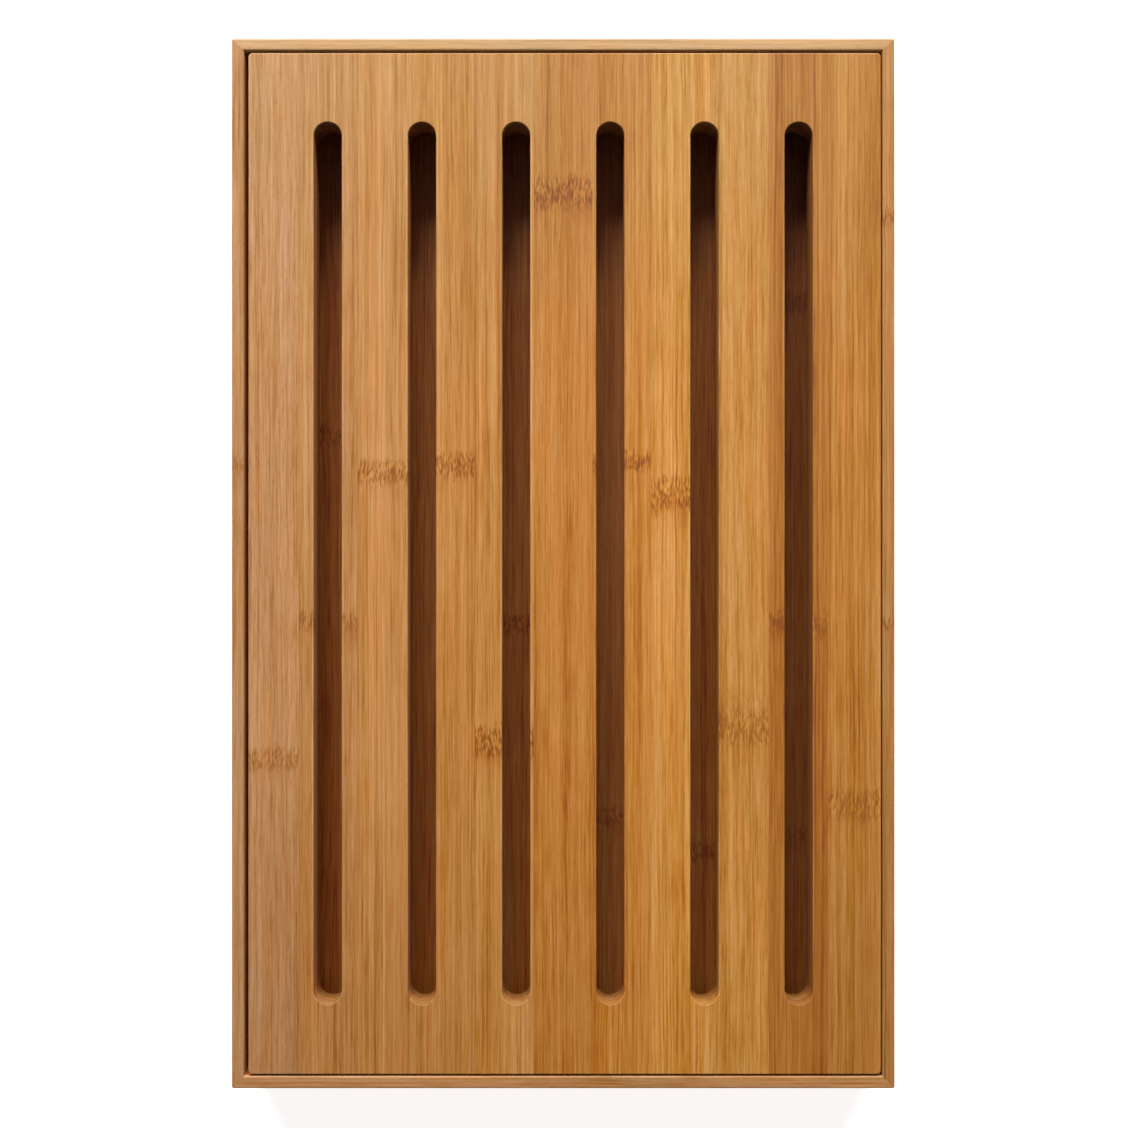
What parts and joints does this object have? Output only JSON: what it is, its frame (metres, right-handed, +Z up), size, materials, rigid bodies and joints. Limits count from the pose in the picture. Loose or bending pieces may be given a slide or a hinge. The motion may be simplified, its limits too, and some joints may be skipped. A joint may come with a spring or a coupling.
{
  "type": "bread board with crumb catcher",
  "caption": "Slotted bamboo bread board lying loose in a shallow mitred bamboo tray that catches the crumbs; the board lifts straight out.",
  "frame": {"origin": "on the table under the middle of the tray, at the rails' undersides", "axes": "+Z up, +Y along the long side towards the rear rail, which is the top edge in the picture, +X to the right"},
  "size_m": [0.24, 0.38, 0.035],
  "materials": {
    "bamboo_face": "satin oiled bamboo, staves of slightly different tone",
    "bamboo_cross": "satin oiled bamboo, grain laid crosswise",
    "bamboo_rail": "satin oiled bamboo",
    "bamboo_base": "satin oiled bamboo, a little darker",
    "bamboo_ledger": "plain sanded bamboo"
  },
  "bodies": {
    "tray": {"left_rail": "bamboo_rail", "right_rail": "bamboo_rail", "front_rail": "bamboo_rail", "rear_rail": "bamboo_rail", "base_panel": "bamboo_base", "left_ledger": "bamboo_ledger", "right_ledger": "bamboo_ledger", "front_ledger": "bamboo_ledger", "rear_ledger": "bamboo_ledger"},
    "board": {"board_cross_ply": "bamboo_cross", "board_stave_01": "bamboo_face", "board_stave_02": "bamboo_face", "board_stave_03": "bamboo_face", "board_stave_04": "bamboo_face", "board_stave_05": "bamboo_face", "board_stave_06": "bamboo_face", "board_stave_07": "bamboo_face", "board_stave_08": "bamboo_face", "board_stave_09": "bamboo_face", "board_stave_10": "bamboo_face", "board_stave_11": "bamboo_face"}
  },
  "joints": [
    {"name": "board_lift", "type": "slide", "parent": "tray", "child": "board", "axis": [0, 0, 1], "range_m": [0, 0.045]}
  ]
}
